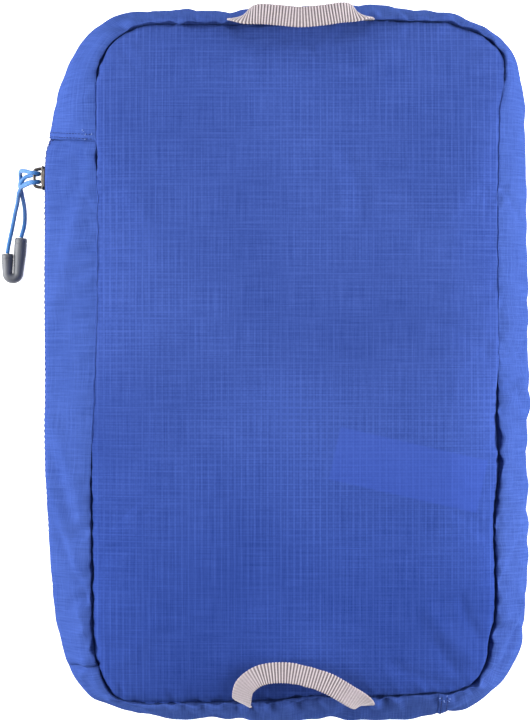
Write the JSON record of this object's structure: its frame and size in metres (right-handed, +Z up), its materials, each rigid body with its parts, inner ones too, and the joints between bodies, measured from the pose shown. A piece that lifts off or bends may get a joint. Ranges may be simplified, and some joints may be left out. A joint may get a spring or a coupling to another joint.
{
  "type": "packing cube",
  "caption": "Soft rounded ripstop packing cube with an L-shaped zip, a corded zip pull and a webbing grab handle at each end.",
  "frame": {"origin": "on the surface that the bag rests on, below the middle of the bag's box without its pull", "axes": "+X across the bag towards the plain long side, +Y along its length towards the top handle, +Z up out of the front panel"},
  "size_m": [0.2659, 0.3528, 0.0872],
  "materials": {
    "ripstop": "thin semi-gloss ripstop nylon, royal blue",
    "binding": "woven seam tape, dark blue",
    "label": "blank white satin tape",
    "zip_tape": "woven polyester zip tape",
    "zip_coil": "nylon coil",
    "slider": "gunmetal lacquered zinc",
    "cord": "braided sky-blue cord",
    "grip": "satin moulded elastomer, dark grey",
    "webbing": "ribbed grosgrain webbing, warm light grey"
  },
  "bodies": {
    "bag": {"back_panel": "ripstop", "back_binding": "binding", "hinge_gusset": "ripstop", "lower_gusset": "ripstop", "front_panel": "ripstop", "front_binding": "binding", "cross_binding_left": "binding", "cross_binding_bottom": "binding", "care_label": "label", "tape_lower": "zip_tape", "coil_lower": "zip_coil"},
    "flap": {"flap_panel": "ripstop", "flap_gusset": "ripstop", "flap_binding": "binding", "tape_upper": "zip_tape", "coil_upper": "zip_coil"},
    "slider": {"slider_body": "slider"},
    "pull": {"pull_cord": "cord", "pull_grip": "grip"},
    "top_grab": {"top_handle": "webbing"},
    "bottom_grab": {"bottom_handle": "webbing"}
  },
  "joints": [
    {"name": "flap_fold", "type": "hinge", "parent": "bag", "child": "flap", "pos_m": [-0.00705, -0.02725, 0.0815], "axis": [-0.5199, 0.8542, 0], "range_deg": [0, 120], "deforming": ["tape_upper", "coil_upper"]},
    {"name": "zip_slide", "type": "slide", "parent": "bag", "child": "slider", "axis": [0, -1, 0], "range_m": [0, 0.2]},
    {"name": "pull_swing", "type": "hinge", "parent": "slider", "child": "pull", "pos_m": [-0.12305, 0.0925, 0.035], "axis": [0, 1, 0], "range_deg": [0, 135], "deforming": ["pull_cord"]},
    {"name": "top_grab_tilt", "type": "hinge", "parent": "bag", "child": "top_grab", "pos_m": [0.0032, 0.1679, 0.0714], "axis": [-1, 0, 0], "range_deg": [-55, 75]},
    {"name": "bottom_grab_tilt", "type": "hinge", "parent": "flap", "child": "bottom_grab", "pos_m": [0.0032, -0.167, 0.0714], "axis": [1, 0, 0], "range_deg": [-20, 120]}
  ]
}
